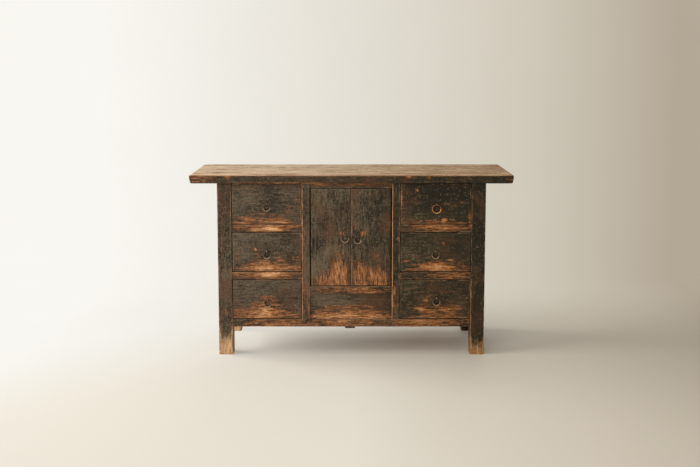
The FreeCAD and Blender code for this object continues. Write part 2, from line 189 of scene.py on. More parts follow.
WEAR_AND_HIGHLIGHTS = {
    "drawer_left_top_front": [
        Oval(0.17, 0.05, 0.30, 0.22, 0.80),
        Oval(0.62, 0.04, 0.54, 0.24, 0.95),
        Oval(0.50, 0.16, 0.90, 0.40, 0.34),
        Oval(0.80, 0.38, 0.10, 0.30, 0.36),
        Oval(0.14, 0.78, 0.34, 0.30, 0.16),
        Oval(0.93, 0.55, 0.18, 0.60, 0.22),
    ],
    "drawer_left_middle_front": [
        Oval(0.50, 0.09, 0.80, 0.28, 1.05),
        Oval(0.50, 0.05, 1.20, 0.26, 0.45),
        Oval(0.44, 0.25, 0.46, 0.22, 0.52),
        Oval(0.72, 0.27, 0.30, 0.20, 0.36),
        Oval(0.37, 0.46, 0.24, 0.04, 0.60),
        Oval(0.70, 0.46, 0.18, 0.04, 0.60),
        spot(0.335, 0.58, 1.45),
        spot(0.37, 0.40, 0.85),
        spot(0.68, 0.37, 1.05),
        spot(0.88, 0.355, 0.95),
        Oval(0.96, 0.30, 0.10, 0.80, 0.36),
        Oval(0.09, 0.40, 0.08, 0.30, 0.36),
    ],
    "drawer_left_bottom_front": [
        Oval(0.43, 0.13, 0.66, 0.44, 1.10),
        Oval(0.84, 0.11, 0.40, 0.32, 0.62),
        Oval(0.08, 0.10, 0.30, 0.28, 0.60),
        Oval(0.50, 0.50, 0.42, 0.26, 0.55),
        Oval(0.71, 0.38, 0.22, 0.12, 0.68),
        Oval(0.48, 0.34, 0.40, 0.18, 0.60),
        spot(0.905, 0.32, 0.60),
        spot(0.30, 0.40, 0.70),
    ],
    "drawer_right_top_front": [
        Oval(0.50, 0.75, 1.60, 1.00, -0.42),
        Oval(0.025, 0.50, 0.10, 1.40, 0.34),
        # The pale left arris: rubbed bare, and partly a painted highlight of the light from the left
        Oval(0.006, 0.62, 0.040, 0.70, 1.35),
        spot(0.233, 0.84, 1.90, 0.05, 0.07),
        spot(0.26, 0.71, 1.20),
        spot(0.20, 0.635, 1.10),
        Oval(0.25, 0.525, 0.12, 0.05, 1.00),
        Oval(0.64, 0.51, 0.10, 0.06, 1.00),
        Oval(0.86, 0.52, 0.20, 0.05, 1.00),
        Oval(0.76, 0.44, 0.24, 0.12, 0.50),
        spot(0.616, 0.09, 1.10, 0.09, 0.16),
        Oval(0.60, 0.03, 0.60, 0.20, 0.58),
        Oval(0.28, 0.05, 0.50, 0.18, 0.34),
        Oval(0.985, 0.19, 0.045, 0.50, 0.70),
    ],
    "drawer_right_middle_front": [
        spot(0.608, 0.71, 1.45, 0.045, 0.09),
        spot(0.075, 0.27, 0.95, 0.09, 0.08),
        spot(0.71, 0.295, 1.10, 0.12, 0.06),
        spot(0.735, 0.21, 0.90, 0.07, 0.06),
        Oval(0.52, 0.11, 0.46, 0.17, 1.45),
        Oval(0.48, 0.20, 0.56, 0.22, 0.50),
        Oval(0.50, 0.02, 1.10, 0.12, 0.62),
        Oval(0.88, 0.14, 0.24, 0.28, 0.38),
        Oval(0.22, 0.10, 0.30, 0.24, 0.34),
        Oval(0.22, 0.40, 0.36, 0.16, 0.18),
    ],
    "drawer_right_bottom_front": [
        spot(0.578, 0.68, 0.90),
        spot(0.37, 0.465, 0.95),
        spot(0.11, 0.35, 0.95),
        Oval(0.50, 0.75, 1.40, 0.60, 0.12),
        Oval(0.52, 0.13, 0.72, 0.50, 0.60),
        spot(0.29, 0.24, 1.05, 0.16, 0.12),
        Oval(0.73, 0.28, 0.34, 0.18, 0.64),
        Oval(0.50, 0.02, 1.10, 0.10, 0.45),
    ],
    "door_left_leaf": [
        Oval(0.50, 0.77, 0.16, 0.24, 0.34),
        spot(0.88, 0.81, 0.70, 0.08, 0.03),
        Oval(0.79, 0.54, 0.22, 0.10, 0.66),
        spot(0.72, 0.41, 1.05, 0.10, 0.04),
        spot(0.79, 0.34, 0.75, 0.09, 0.04),
        Oval(0.62, 0.38, 0.50, 0.60, 0.30),
        Oval(0.15, 0.48, 0.90, 0.34, -0.32),
        Oval(0.55, 0.80, 1.60, 0.44, -0.12),
        Oval(0.60, 0.52, 0.80, 0.30, -0.18),
        Oval(0.73, 0.11, 0.56, 0.38, 0.95),
        Oval(0.32, 0.04, 0.70, 0.22, 0.85),
    ],
    "door_right_leaf": [
        # The pale left arris: rubbed bare, and partly a painted highlight of the light from the left
        Oval(0.00, 0.50, 0.05, 3.00, 0.95),
        Oval(0.60, 0.68, 1.60, 0.70, -0.08),
        Oval(0.53, 0.94, 0.24, 0.07, 0.42),
        Oval(0.14, 0.84, 0.22, 0.08, 0.34),
        Oval(0.22, 0.76, 0.18, 0.08, 0.32),
        Oval(0.10, 0.62, 0.14, 0.20, 0.32),
        spot(0.30, 0.54, 1.05, 0.20, 0.06),
        Oval(0.22, 0.09, 0.50, 0.36, 0.82),
        spot(0.56, 0.115, 1.10, 0.18, 0.14),
        Oval(0.72, 0.05, 0.60, 0.22, 0.72),
        Oval(0.70, 0.26, 0.50, 0.30, 0.28),
    ],
    "rail_left_upper": [
        Oval(0.47, 0.62, 0.68, 1.80, 0.93),
        Oval(0.54, 0.40, 0.40, 1.60, 1.42),
        Oval(0.88, 0.80, 0.40, 0.70, 0.60),
        Oval(0.12, 0.50, 0.26, 1.20, 0.36),
        Oval(0.02, 0.40, 0.05, 1.40, 0.90),
    ],
    "rail_left_lower": [
        Oval(0.50, 0.70, 0.82, 1.60, 0.82),
        Oval(0.55, 0.78, 0.46, 1.05, 1.42),
        Oval(0.10, 0.70, 0.30, 0.80, 0.45),
    ],
    "rail_right_upper": [
        Oval(0.60, 0.55, 0.72, 1.90, 0.72),
        Oval(0.44, 0.60, 0.40, 1.20, 0.78),
        Oval(0.20, 0.50, 0.24, 1.20, 0.40),
        Oval(0.01, 0.50, 0.05, 1.60, 0.90),
        Oval(0.98, 0.90, 0.10, 0.50, 0.95),
    ],
    "rail_right_lower": [
        Oval(0.76, 0.50, 0.40, 1.80, 0.76),
        Oval(0.50, 0.55, 0.46, 1.50, 0.54),
        Oval(0.03, 0.50, 0.08, 1.60, 0.55),
    ],
    "door_sill_rail": [
        Oval(0.34, 0.44, 0.56, 1.60, 0.70),
        Oval(0.66, 0.42, 0.38, 1.40, 0.76),
        Oval(0.88, 0.50, 0.30, 1.00, 0.24),
    ],
    "door_head_rail": [
        Oval(0.50, 0.92, 1.60, 0.70, 0.95),
    ],
    "front_bottom_rail": [
        Oval(0.16, 0.42, 0.26, 1.60, 0.74),
        Oval(0.34, 0.50, 0.24, 1.60, 0.50),
        Oval(0.46, 0.55, 0.14, 1.60, 0.84),
        Oval(0.57, 0.50, 0.16, 1.40, 0.68),
        Oval(0.81, 0.50, 0.32, 1.90, 0.86),
    ],
    "lower_panel": [
        Oval(0.46, 0.16, 1.04, 0.50, 1.02),
        Oval(0.60, 0.08, 1.60, 0.26, 0.90),
        Oval(0.32, 0.47, 0.50, 0.16, 0.55),
        Oval(0.66, 0.48, 0.36, 0.16, 0.50),
        spot(0.20, 0.50, 1.00, 0.05, 0.08),
        Oval(0.12, 0.97, 0.30, 0.12, 0.75),
    ],
    "post_left": [
        # The pale left arris: rubbed bare, and partly a painted highlight of the light from the left
        Oval(0.00, 0.50, 0.18, 3.00, 1.45),
        Oval(0.50, 0.18, 1.40, 0.24, 0.42),
        Oval(0.92, 0.16, 0.20, 0.28, 0.80),
        Oval(0.20, 0.55, 0.60, 0.60, 0.38),
    ],
    "post_right": [
        # The pale left arris: rubbed bare, and partly a painted highlight of the light from the left
        Oval(0.00, 0.50, 0.16, 3.00, 1.60),
        spot(0.72, 0.59, 1.05, 0.30, 0.03),
        Oval(0.32, 0.22, 0.50, 0.10, 0.72),
        Oval(0.40, 0.14, 1.00, 0.20, 0.36),
    ],
    "leg_front_left": [
        spot(0.32, 0.59, 1.00, 0.16, 0.025),
        spot(0.22, 0.61, 0.85, 0.12, 0.02),
        Oval(0.40, 0.66, 0.30, 0.05, 0.42),
        Oval(0.96, 0.45, 0.14, 0.80, 0.48),
        Oval(0.50, 0.22, 1.20, 0.22, 0.17),
        Oval(0.50, 0.98, 3.00, 0.90, -0.36),
    ],
    "leg_front_right": [
        Oval(0.02, 0.30, 0.10, 0.70, 0.85),
        Oval(0.50, 1.00, 3.00, 0.90, -0.20),
    ],
    "top_plank_front": [
        Oval(0.035, 0.50, 0.10, 1.60, 0.36),
        Oval(0.020, 0.85, 0.06, 0.60, 0.45),
        spot(0.118, 0.80, 1.05, 0.022, 0.55),
        spot(0.675, 0.90, 1.15, 0.016, 0.80),
        spot(0.738, 0.90, 1.15, 0.016, 0.80),
        Oval(0.99, 0.70, 0.03, 1.20, 0.36),
        Oval(0.28, 0.00, 0.34, 0.24, 1.30),
        Oval(0.50, 0.50, 1.20, 1.40, 0.12),
    ],
}

# Dark stains and fine cracks on the top's upper face: up runs from each plank's front to its back.
STAINED = {
    "top_plank_front": [
        Oval(0.42, 0.80, 0.10, 0.09, 0.80),
        Oval(0.60, 0.62, 0.03, 0.10, 0.70),
        Oval(0.64, 0.48, 0.04, 0.08, 0.60),
    ],
    "top_plank_middle": [
        Oval(0.12, 0.88, 0.12, 0.06, 0.80),
        Oval(0.40, 0.10, 0.16, 0.06, 0.80),
        Oval(0.575, 0.05, 0.03, 0.10, 0.70),
    ],
    "top_plank_back": [
        Oval(0.80, 0.15, 0.06, 0.30, 0.75),
        Oval(0.15, 0.20, 0.10, 0.06, 0.55),
        Oval(0.86, 0.60, 0.20, 0.12, 0.45),
    ],
}


def clipped(value):
    """The value, or the nearer end of 0 to 1."""
    return min(1.0, max(0.0, value))


def painted(ovals, across, up):
    """How bare the lacquer is at one place of a face: each oval fades out from its middle."""
    kept_and_shade = 1.0
    most = 0.0
    dark = 0.0
    for oval in ovals:
        sideways = 2 * (across - oval.across) / (OVAL_SPREAD * oval.wide)
        upright = 2 * (up - oval.up) / (OVAL_SPREAD * oval.high)
        inside = 1 - sideways * sideways - upright * upright
        if inside > 0:
            value = oval.bare * inside ** OVAL_FALL
            dark += min(value, 0.0)
            most = max(most, value)
            kept_and_shade *= clipped(1 - value)
    return max(most, 1 - kept_and_shade) + dark


# Meshes

def islands(mesh):
    """The separate solids of a mesh, as lists of vertices, always in the mesh's own order."""
    reached = set()
    found = []
    for first in mesh.verts:
        if first in reached:
            continue
        reached.add(first)
        group = [first]
        for vert in group:
            for edge in vert.link_edges:
                other = edge.other_vert(vert)
                if other not in reached:
                    reached.add(other)
                    group.append(other)
        found.append(group)
    return found


def span(points):
    """The lowest and highest corner of a box around the points."""
    low = [min(point[axis] for point in points) for axis in range(3)]
    high = [max(point[axis] for point in points) for axis in range(3)]
    return low, high


def cut_places(low, high, cell):
    """Places of the cuts between two ends: close together at the arrises, even between."""
    places = [low + reach for reach in ARRIS_CUTS] + [high - reach for reach in ARRIS_CUTS]
    count = max(1, round((high - low) / cell))
    places += [low + (high - low) * index / count for index in range(1, count)]
    return [place for place in sorted(places) if low < place < high]


def cut_up(mesh, cells):
    """Cuts a mesh along planes, so that its faces become small cells."""
    low, high = span([vert.co for vert in mesh.verts])
    for axis in range(3):
        normal = Vector((0, 0, 0))
        normal[axis] = 1
        for place in cut_places(low[axis], high[axis], cells[axis]):
            everything = mesh.verts[:] + mesh.edges[:] + mesh.faces[:]
            bmesh.ops.bisect_plane(
                mesh, geom=everything, dist=WELD, plane_co=normal * place, plane_no=normal,
            )


def rim_distance(point, low, high):
    """How far a point on a board's surface is from the board's nearest arris."""
    gaps = sorted(min(point[axis] - low[axis], high[axis] - point[axis]) for axis in range(3))
    return max(0.0, gaps[1])


def rolling(point, size, shift=0.0):
    """Smooth noise from 0 to 1 whose waves are about that size."""
    apart = Vector([lean * shift for lean in SHIFT_LEAN])
    value = noise.noise(Vector(point) / size + apart)
    return clipped(0.5 + NOISE_GAIN * value)


def loss(point, rim, reach, depth):
    """How much wood is gone at a place: rounded, nicked arrises and shallow hollows."""
    near = max(0.0, 1 - rim / reach)
    by_hollow = ARRIS_BY_HOLLOW * rolling(point, HOLLOW_SIZE, ARRIS_HOLLOWS)
    by_dent = ARRIS_BY_DENT * rolling(point, DENT_SIZE, ARRIS_DENTS)
    rubbed = ARRIS_LEAST + by_hollow + by_dent
    nicked = rolling(point, NICK_SIZE, NICKS) ** NICK_RARITY
    hollows = FACE_BY_HOLLOW * rolling(point, HOLLOW_SIZE)
    dents = FACE_BY_DENT * rolling(point, DENT_SIZE, FACE_DENTS)
    return near * near * (depth * rubbed + NICK_LOSS * nicked) + FACE_LOSS * (hollows + dents)


def smooth_mesh(mesh, name):
    """Turns the worked mesh into an object with soft faces and sharp corners."""
    for face in mesh.faces:
        face.smooth = True
    for edge in mesh.edges:
        if len(edge.link_faces) == 2:
            edge.smooth = edge.calc_face_angle(0.0) < SHARP
    data = bpy.data.meshes.new(name)
    mesh.to_mesh(data)
    mesh.free()
    piece = bpy.data.objects.new(name, data)
    bpy.context.scene.collection.objects.link(piece)
    return piece


def copy_of(node):
    """A working copy of a CAD node's mesh, welded, with its flat faces whole."""
    mesh = bmesh.new()
    mesh.from_mesh(frame["nodes"][node].data)
    bmesh.ops.remove_doubles(mesh, verts=mesh.verts, dist=WELD)
    bmesh.ops.dissolve_limit(mesh, angle_limit=FLAT, verts=mesh.verts, edges=mesh.edges)
    return mesh


def take_place(piece, node, material):
    """The piece stands for the CAD node, on the node's body."""
    piece.data.materials.append(material)
    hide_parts(node)
    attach(piece, frame["nodes"][node]["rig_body"])


def own_draws(node):
    """Random draws that are a node's own, and the same in every run."""
    return random.Random(SEED + sum(map(ord, node)))


def bareness_and_highlight(node, place, point, normal, low, high):
    """How bare a board is at a vertex, painted on its front face, where some left arrises get a painted
    highlight, and by height elsewhere.
    """
    up = (point.z - low[Z]) / (high[Z] - low[Z])
    at_front = normal.y < FRONT_NORMAL or point.y < low[Y] + FRONT_STRIP
    if at_front and node in WEAR_AND_HIGHLIGHTS:
        across = (point.x - low[X]) / (high[X] - low[X])
        return painted(WEAR_AND_HIGHLIGHTS[node], across, up)
    waves = SIDE_BARE_WAVES * rolling(point, HOLLOW_SIZE, place)
    return SIDE_BARE + waves - SIDE_BARE_FALL * min(1.0, point.z)


def paleness(node, point, normal, rim):
    """How much of a place is old bare wood: the top's upper face and the feet."""
    if node in TOP_PLANKS:
        return clipped((normal.z - TOP_PALE_FROM) / TOP_PALE_OVER)
    if node in BARE_FEET:
        bare_to = BARE_FEET[node] + FOOT_EDGE * max(0.0, 1 - rim / FOOT_RIM)
        return clipped(0.5 + (bare_to - point.z) / FOOT_FADE)
    return 0.0


def stains(node, point, normal, low, high):
    """How stained a place is, painted on the top, and how darkened by a painted shade on the legs' sides and
    backs.
    """
    if node in BARE_FEET and normal.y > FOOT_FRONT_NORMAL:
        return LEG_SIDE_SHADE
    if node not in STAINED or normal.z < UP_NORMAL:
        return 0.0
    across = (point.x - low[X]) / (high[X] - low[X])
    back = (point.y - low[Y]) / (high[Y] - low[Y])
    return painted(STAINED[node], across, back)


def place_in_ring_shadow(mesh, ring):
    """Writes each vertex's place from the middle of a ring's painted shadow, in radii of the ring."""
    layer = mesh.verts.layers.float_vector.new("pull")
    low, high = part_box(ring)
    thickness = high[Y] - low[Y]
    middle = Vector([0.5 * (low[axis] + high[axis]) for axis in range(3)]) + Vector((RING_SHADOW_SHIFT, 0, 0))
    radius = 0.5 * (high[X] - low[X] - thickness)
    for vert in mesh.verts:
        vert[layer] = (vert.co - middle) / radius


def wear_down(mesh, node, layers, wear, trim):
    """Writes the wear of each vertex for the material, and moves it in by the wood that is gone."""
    draws = own_draws(node)
    moves = []
    for solid in islands(mesh):
        low, high = span([vert.co for vert in solid])
        low[Z] += trim
        high[Z] -= trim
        whole_low, whole_high = (TOP_LOW, TOP_HIGH) if node in TOP_PLANKS else (low, high)
        place = draws.uniform(0, FARTHEST_SHIFT)
        for vert in solid:
            rim = rim_distance(vert.co, whole_low, whole_high)
            own_rim = rim_distance(vert.co, low, high)
            sheltered = node in TOP_PLANKS and vert.co.z < 0.5 * (low[Z] + high[Z])
            vert[layers["rim"]] = rim / MM + (SHELTER if sheltered else 0.0)
            vert[layers["worn"]] = bareness_and_highlight(node, place, vert.co, vert.normal, low, high)
            vert[layers["pale"]] = paleness(node, vert.co, vert.normal, rim)
            vert[layers["darkening"]] = stains(node, vert.co, vert.normal, low, high)
            vert[layers["board"]] = place
            reach, depth = (ARRIS_REACH, ARRIS_LOSS) if sheltered else wear
            gone = loss(vert.co + Vector((place, 0, 0)), rim, reach, depth)
            if own_rim < rim:
                gone += SEAM_LOSS * max(0.0, 1 - own_rim / SEAM_REACH)
            moves.append((vert, vert.normal * -gone))
    for vert, move in moves:
        vert.co += move


def board(node, material, along, cell=FINE_CELL, wear=(ARRIS_REACH, ARRIS_LOSS), trim=0.0, ring=None):
    """A worn wooden board in the place of a CAD node, cut into cells of about that size.

    wear is the reach and depth of its arrises' wear, trim how far its tenons stand out above and
    below, and ring the node of the ring that hangs on it.
    """
    mesh = copy_of(node)
    cells = [cell, cell, cell]
    cells[along] = max(cell, LONG_CELL)
    cut_up(mesh, cells)
    mesh.normal_update()
    layers = {name: mesh.verts.layers.float.new(name) for name in ("rim", "worn", "pale", "darkening", "board")}
    if ring:
        place_in_ring_shadow(mesh, ring)
    wear_down(mesh, node, layers, wear, trim)
    round_faces = [face for face in mesh.faces if len(face.verts) > 4]
    bmesh.ops.triangulate(mesh, faces=round_faces)
    take_place(smooth_mesh(mesh, node + "_wood"), node, material)


def forged(node, material):
    """A hand-made metal piece in the place of a CAD node: uneven, slightly thinned by wear."""
    mesh = copy_of(node)
    mesh.normal_update()
    board_layer = mesh.verts.layers.float.new("board")
    low_layer = mesh.verts.layers.float.new("low")
    low, high = span([vert.co for vert in mesh.verts])
    place = own_draws(node).uniform(0, FARTHEST_SHIFT)
    moves = []
    for vert in mesh.verts:
        # How low each place lies, which paints the metal brighter low down, partly as rubbing and partly as
        # a painted highlight
        vert[low_layer] = (high[Z] - vert.co.z) / (high[Z] - low[Z])
        vert[board_layer] = place
        thinned = rolling(vert.co, THINNED_SIZE, place)
        hammered = rolling(vert.co, HAMMERED_SIZE, place + HAMMERED_SHIFT)
        moves.append(vert.normal * (-THINNED_LOSS * thinned - HAMMERED_LOSS * hammered))
    for vert, move in zip(mesh.verts, moves):
        vert.co += move
    take_place(smooth_mesh(mesh, node + "_metal"), node, material)


# Materials

# The sockets of a Mix node that mixes colours
MIX_FIRST = 6
MIX_SECOND = 7
MIX_RESULT = 2


class Surface:
    """A material, and short ways to add its nodes."""

    def __init__(self, name):
        self.material = bpy.data.materials.new(name)
        self.material.use_nodes = True
        self.tree = self.material.node_tree
        self.shader = self.tree.nodes["Principled BSDF"]

    def node(self, kind, **settings):
        made = self.tree.nodes.new("ShaderNode" + kind)
        for name, value in settings.items():
            setattr(made, name, value)
        return made

    def feed(self, socket, value):
        """Links a socket to another, or sets it to a plain value."""
        if isinstance(value, bpy.types.NodeSocket):
            self.tree.links.new(value, socket)
        else:
            socket.default_value = value

    def math(self, operation, first, second=0.0):
        made = self.node("Math", operation=operation)
        self.feed(made.inputs[0], first)
        self.feed(made.inputs[1], second)
        return made.outputs[0]

    def total(self, *terms):
        """The sum of values, each times its weight. A constant is 1.0 with its weight."""
        result = 0.0
        for value, weight in terms:
            result = self.math("ADD", result, self.math("MULTIPLY", value, weight))
        return result

    def swing(self, value, weight):
        """A term for total: how far a noise is from its middle, and its weight."""
        return self.math("SUBTRACT", value, 0.5), weight

    def step(self, value, low, high, start=0.0, end=1.0):
        """Goes smoothly from start to end as the value goes from low to high."""
        made = self.node("MapRange", interpolation_type="SMOOTHSTEP")
        for index, number in enumerate((value, low, high, start, end)):
            self.feed(made.inputs[index], number)
        return made.outputs[0]

    def mixed(self, share, first, second, how="MIX"):
        """The first colour, with that share of the second."""
        made = self.node("Mix", data_type="RGBA", blend_type=how)
        self.feed(made.inputs[0], share)
        self.feed(made.inputs[MIX_FIRST], first)
        self.feed(made.inputs[MIX_SECOND], second)
        return made.outputs[MIX_RESULT]

    def times(self, colour, factor):
        """A colour times another colour or a number."""
        return self.mixed(1.0, colour, factor, "MULTIPLY")

    def tinted(self, share, colour, tint):
        """A colour that takes on a tint by that share."""
        return self.mixed(share, colour, self.times(colour, tint))

    def shades(self, value, *stops):
        """Colours along a value, each stop a place and a colour."""
        made = self.node("ValToRGB")
        ramp = made.color_ramp
        for index, (place, colour) in enumerate(stops):
            entry = ramp.elements[index] if index < 2 else ramp.elements.new(place)
            entry.position = place
            entry.color = colour
        self.feed(made.inputs[0], value)
        return made.outputs[0]

    def attribute(self, name):
        return self.node("Attribute", attribute_name=name).outputs["Fac"]

    def vector(self, name):
        return self.node("Attribute", attribute_name=name).outputs["Vector"]

    def distance(self, vector, centre=(0.0, 0.0, 0.0)):
        made = self.node("VectorMath", operation="DISTANCE")
        self.feed(made.inputs[0], vector)
        self.feed(made.inputs[1], centre)
        return made.outputs["Value"]

    def position(self):
        """The place on the whole object, in metres."""
        return self.node("TexCoord").outputs["Object"]

    def axes(self):
        """The place's x, y and z."""
        parts = self.node("SeparateXYZ")
        self.feed(parts.inputs[0], self.position())
        return parts.outputs

    def place(self):
        """The place on the object, shifted for each board so that no two share their grain."""
        shifted = self.node("VectorMath", operation="ADD")
        self.feed(shifted.inputs[0], self.position())
        self.feed(shifted.inputs[1], self.attribute("board"))
        return shifted.outputs[0]

    def drawn_out(self, place, along, times):
        """The same place with everything that reads it drawn out along the grain."""
        shape = [1.0, 1.0, 1.0]
        shape[along] = 1 / times
        made = self.node("VectorMath", operation="MULTIPLY")
        self.feed(made.inputs[0], place)
        self.feed(made.inputs[1], shape)
        return made.outputs[0]

    def noise(self, place, size, detail=3.0, roughness=0.55, distortion=0.0):
        """Noise round 0.5 whose grains are about that size."""
        made = self.node("TexNoise")
        self.feed(made.inputs["Vector"], place)
        self.feed(made.inputs["Scale"], 1 / size)
        self.feed(made.inputs["Detail"], detail)
        self.feed(made.inputs["Roughness"], roughness)
        self.feed(made.inputs["Distortion"], distortion)
        return made.outputs[0]

    def relief(self, height, strength, depth):
        """Fine relief from a height of 0 to 1, the depth in metres."""
        bump = self.node("Bump")
        self.feed(bump.inputs["Strength"], strength)
        self.feed(bump.inputs["Distance"], depth)
        self.feed(bump.inputs["Height"], height)
        self.feed(self.shader.inputs["Normal"], bump.outputs[0])

    def blend(self, share, first, second):
        """The first shader, with that share of the second."""
        made = self.node("MixShader")
        for socket, value in zip(made.inputs, (share, first, second)):
            self.feed(socket, value)
        return made.outputs[0]

    def finish(self, colour, roughness):
        self.feed(self.shader.inputs["Base Color"], colour)
        self.feed(self.shader.inputs["Roughness"], roughness)
        return self.material


# Lacquered wood

# deep and thin are the lacquer's own colours. rubbed, bare and fresh are those of the wood that
# comes through it, arris that of the rubbed arrises, old and pale those of aged bare wood.
# veins is how softly old and pale meet, arris_width and arris_swing are how wide and how uneven
# the rubbed arrises are, in millimetres, and gloss is the lacquer's roughness.
Look = namedtuple("Look", "deep thin rubbed bare fresh arris old pale veins arris_width arris_swing gloss")

FRAME_LOOK = Look(
    deep=srgb(36, 29, 17), thin=srgb(108, 93, 74), rubbed=srgb(94, 62, 42), bare=srgb(160, 106, 68),
    fresh=srgb(212, 152, 100), arris=srgb(136, 106, 80), old=srgb(156, 116, 78), pale=srgb(218, 180, 138),
    veins=0.26, arris_width=2.6, arris_swing=26.0, gloss=0.54,
)
DRAWER_LOOK = FRAME_LOOK._replace(
    deep=srgb(42, 35, 22), thin=srgb(110, 96, 78), arris=srgb(126, 102, 80), arris_width=2.0, gloss=0.52,
)
DOOR_LOOK = DRAWER_LOOK._replace(deep=srgb(32, 26, 15), thin=srgb(120, 104, 84), gloss=0.50)
TOP_LOOK = FRAME_LOOK._replace(
    deep=srgb(34, 28, 16), thin=srgb(92, 76, 56), arris=srgb(166, 118, 78), old=srgb(142, 110, 79),
    pale=srgb(202, 177, 148), veins=0.10, arris_width=5.0, arris_swing=9.0,
)

# Wood rubbed quite bare where many hands pass. The wood's four colours come at these shares of
# the fullest wear.
POLISHED = srgb(236, 190, 148)
FULL_WEAR = 1.6
WOOD_STOPS = (0.14, 0.50, 0.72, 0.95)

PALE_FLECK = srgb(140, 122, 102)
# Dark stains, and also the painted shade on the legs' sides and backs
STAIN_AND_SHADE = srgb(70, 50, 34)
CRACK = srgb(26, 18, 12)
RING_SHADOW_AND_PIN_DARK = srgb(24, 17, 11)

# From left to right, where the painted shade away from the window begins and where it is fullest,
# and the warm tints of painted bounce light that the lacquer and the wood take on there
PAINTED_SHADE_TO_RIGHT = (-0.35, 0.68)
PAINTED_WARM_LIGHT_TINT = (0.97, 1.0, 0.80, 1.0)
PAINTED_WARM_LIGHT_WOOD_TINT = (1.0, 0.96, 0.82, 1.0)

# Each of these is the low and high end of a step, and some give its start and end
LACQUER_TONES = (-0.29, 0.29)
RUSSET = (0.54, 0.72, 0.0, 0.6)
FLECKS = (0.67, 0.79, 0.0, 0.65)
RAGGEDNESS = (0.0, 0.3, 0.55, 1.0)
BARED = (0.08, 0.70)
FLAKES = (0.53, 0.61, 0.0, 0.5)
GRAIN_SHADES = (0.38, 0.60, 0.66, 1.0)
PORE_SHADES = (0.45, 0.75, 1.16, 0.78)
AGED = (0.14, 0.86)
UNPOLISHED = (0.7, 1.2, 1.0, 0.0)
STAIN_AND_SHADE_PLACES = (0.15, 0.75)
CRACK_LINES = (0.0, 0.008, 1.0, 0.0)
CRACKED_PLACES = (0.50, 0.62)

# Where old and pale bare wood meet, how much of a rubbed arris's width is whole, and how
# strongly arrises, stains with the legs' painted shade, and cracks show
VEINS_MIDDLE = -0.06
ARRIS_WHOLE = 0.3
ARRIS_SHARE = 0.85
STAIN_AND_SHADE_SHARE = 0.6
CRACK_SHARE = 0.7

# The painted shadow of a hanging ring and the darkening round its pin, in radii of the ring from
# the middle of the shadow
RING_SHADOW_PLACE = 0.78
RING_SHADOW_WIDTH = (0.06, 0.28, 0.8, 0.0)
PIN_PLACE = (0.10, 0.0, 1.20)
PIN_WIDTH = (0.22, 0.50, 0.85, 0.0)

# The lacquer's relief and gloss, and the roughness that its noises add on average
LACQUER_RELIEF = 1.3 * MM
LACQUER_SPECULAR = 0.25
NOISE_ROUGHNESS = 0.13

Noises = namedtuple("Noises", "fibre streak figure cloud chip speck fine drift tint line")


def wood_noises(surface, along):
    """The noises of lacquered wood, from fibres drawn out along the grain to wide drifts."""
    place = surface.place()

    def drawn(times, size, detail, roughness, distortion=0.0):
        return surface.noise(surface.drawn_out(place, along, times), size, detail, roughness, distortion)

    return Noises(
        fibre=drawn(9, 4 * MM, 3, 0.6),
        streak=drawn(7, 10 * MM, 4, 0.65, 0.3),
        figure=drawn(5, 42 * MM, 4, 0.6, 0.3),
        cloud=surface.noise(place, 75 * MM, 4, 0.6),
        chip=drawn(1.5, 13 * MM, 4, 0.7, 0.4),
        speck=surface.noise(place, 7 * MM, 3, 0.65),
        fine=surface.noise(place, 4.5 * MM, 2, 0.6),
        drift=surface.noise(place, 260 * MM, 2, 0.5),
        tint=surface.noise(place, 170 * MM, 3, 0.55),
        line=drawn(16, 22 * MM, 2, 0.5),
    )


def lacquer_coat(surface, noises, look, worn, kept_and_shade):
    """The lacquer's colour: clouded, russet in places, with pale flecks, darker where its wear is below
    zero, and darker, evener and warmer to the right as painted shade and bounce light.
    """
    swings = surface.total(
        surface.swing(noises.cloud, 0.5), surface.swing(noises.drift, 0.6),
        surface.swing(noises.chip, 0.5), surface.swing(noises.speck, 0.9),
        surface.swing(noises.fibre, 0.6), surface.swing(noises.streak, 0.75),
    )
    evened = surface.math("MULTIPLY", swings, surface.total((kept_and_shade, -0.35), (1.0, 1.0)))
    # Where the wear is below zero the lacquer is painted darker
    below_zero = surface.math("MINIMUM", worn, 0.0)
    tone = surface.total((evened, 1.0), (kept_and_shade, -0.20), (below_zero, 0.3))
    coat = surface.mixed(surface.step(tone, *LACQUER_TONES), look.deep, look.thin)
    coat = surface.times(coat, surface.total((below_zero, 0.9), (1.0, 1.0)))
    russet = surface.step(surface.total((noises.tint, 0.8), (noises.figure, 0.3)), *RUSSET)
    coat = surface.mixed(russet, coat, look.rubbed)
    flecks = surface.step(surface.total((noises.speck, 0.8), (noises.chip, 0.4)), *FLECKS)
    flecked = surface.total((surface.math("ABSOLUTE", worn), 1.2), (1.0, 0.6))
    return surface.mixed(surface.math("MULTIPLY", flecks, flecked), coat, PALE_FLECK)


def worn_through(surface, noises, worn):
    """How worn each place is with its ragged edges, and how much of the lacquer is gone there."""
    ragged = surface.total(
        surface.swing(noises.streak, 1.8), surface.swing(noises.chip, 1.2),
        surface.swing(noises.fibre, 1.6), surface.swing(noises.speck, 1.5),
    )
    ragged = surface.math("MULTIPLY", ragged, surface.step(worn, *RAGGEDNESS))
    wear = surface.math("ADD", worn, ragged)
    flakes = surface.step(surface.total((noises.speck, 0.5), (noises.chip, 0.5)), *FLAKES)
    bared = surface.math("MULTIPLY", surface.step(wear, *BARED), surface.math("SUBTRACT", 1.0, flakes))
    return wear, bared


